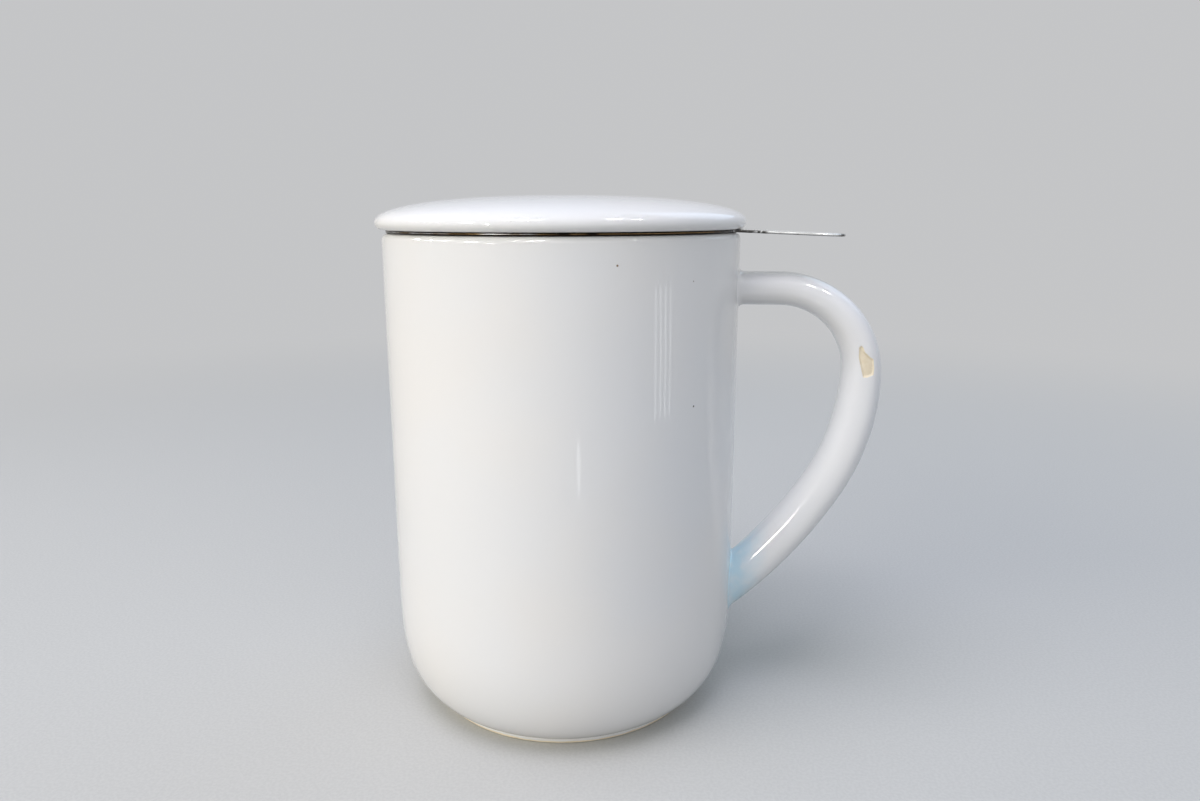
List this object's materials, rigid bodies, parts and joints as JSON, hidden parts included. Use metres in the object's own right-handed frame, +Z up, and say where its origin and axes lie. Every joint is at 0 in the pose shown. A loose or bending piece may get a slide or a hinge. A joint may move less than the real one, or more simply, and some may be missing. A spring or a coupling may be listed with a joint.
{
  "type": "lidded tea mug with infuser",
  "caption": "White porcelain tea mug with an ear handle, a lift-off domed lid and a lift-out perforated steel infuser basket with a side tab.",
  "frame": {"origin": "middle of the foot ring, on the surface that the mug stands on", "axes": "+Z up along the mug's axis, +X from the axis towards the handle"},
  "size_m": [0.1203, 0.0878, 0.1244],
  "materials": {
    "porcelain": "gloss",
    "steel": "satin",
    "perforated_steel": "satin"
  },
  "bodies": {
    "mug": {"mug_body": "porcelain", "mug_handle": "porcelain"},
    "infuser": {"infuser_rim": "steel", "infuser_wall": "perforated_steel", "infuser_floor": "perforated_steel", "infuser_hoop": "steel"},
    "lid": {"lid": "porcelain"}
  },
  "joints": [
    {"name": "infuser_lift", "type": "slide", "parent": "mug", "child": "infuser", "axis": [0, 0, 1], "range_m": [0, 0.11]},
    {"name": "lid_lift", "type": "slide", "parent": "infuser", "child": "lid", "axis": [0, 0, 1], "range_m": [0, 0.06]}
  ]
}
